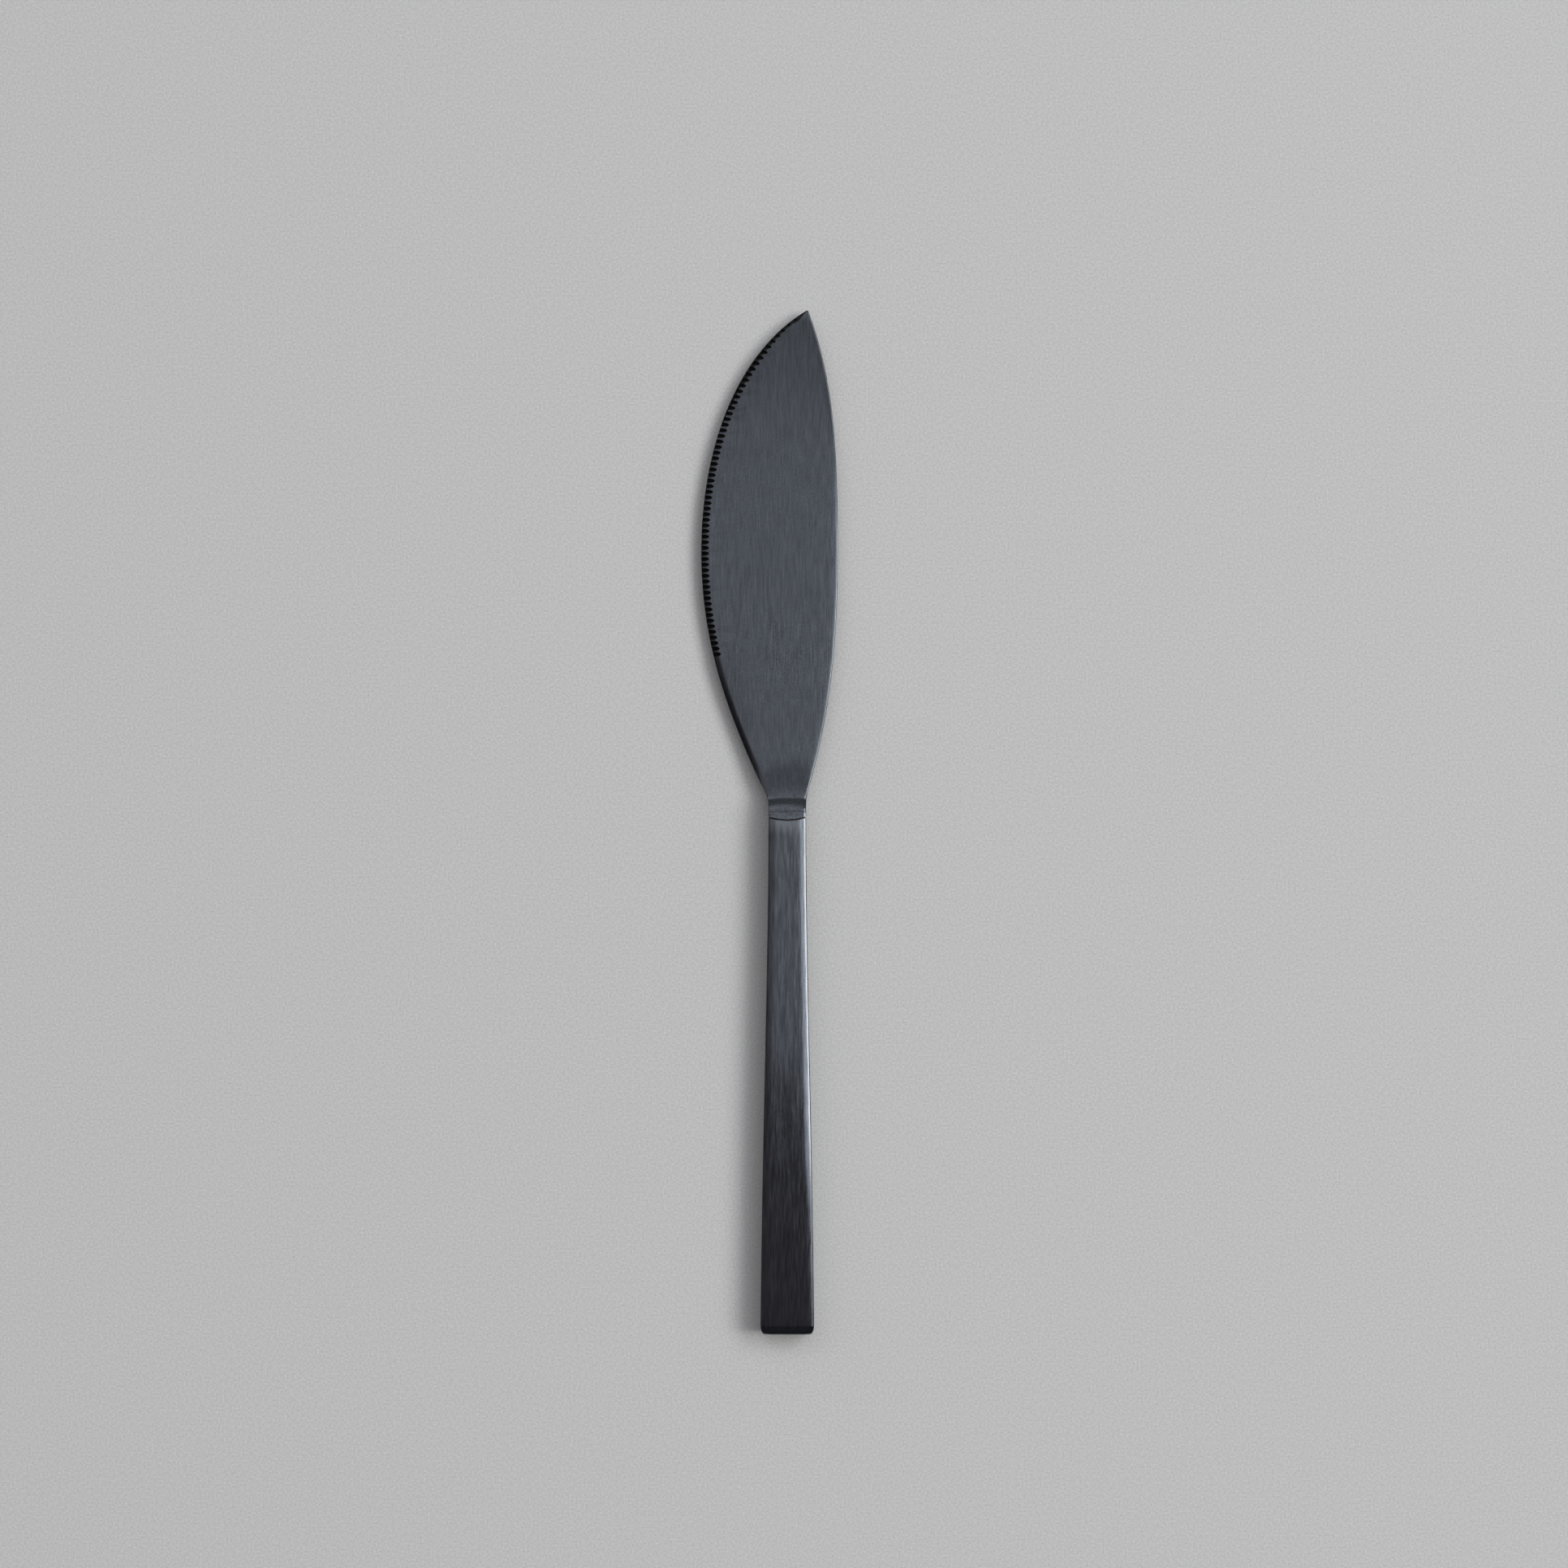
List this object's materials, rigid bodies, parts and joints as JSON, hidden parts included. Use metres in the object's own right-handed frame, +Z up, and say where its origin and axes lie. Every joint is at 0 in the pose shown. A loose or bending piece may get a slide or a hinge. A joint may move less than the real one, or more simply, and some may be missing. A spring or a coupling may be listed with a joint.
{
  "type": "fish knife",
  "caption": "Black coated steel fish knife: broad pointed blade with a finely notched edge, short bolster, and a slim hollow handle that widens to its butt.",
  "frame": {"origin": "on the plane the knife lies on, under the middle of the brazed joint between bolster and handle, on the handle's centre line", "axes": "+Y along the handle's centre line towards the tip, +X towards the spine, +Z up from the flat side that the knife lies on"},
  "size_m": [0.0281, 0.2103, 0.0062],
  "materials": {
    "blade_steel": "black coated steel, brushed lengthwise, satin",
    "handle_steel": "black coated steel, brushed lengthwise, satin",
    "seam_weld": "ground flush, brushed and coated with the handle",
    "braze": "filler metal under the black coating, slightly below the surface",
    "cement": "hard filled cement, unseen inside the handle"
  },
  "bodies": {
    "root": {"blade": "blade_steel", "handle_upper_shell": "handle_steel", "handle_lower_shell": "handle_steel", "handle_seam_weld": "seam_weld", "bolster_braze": "braze", "handle_filler": "cement"}
  },
  "joints": []
}
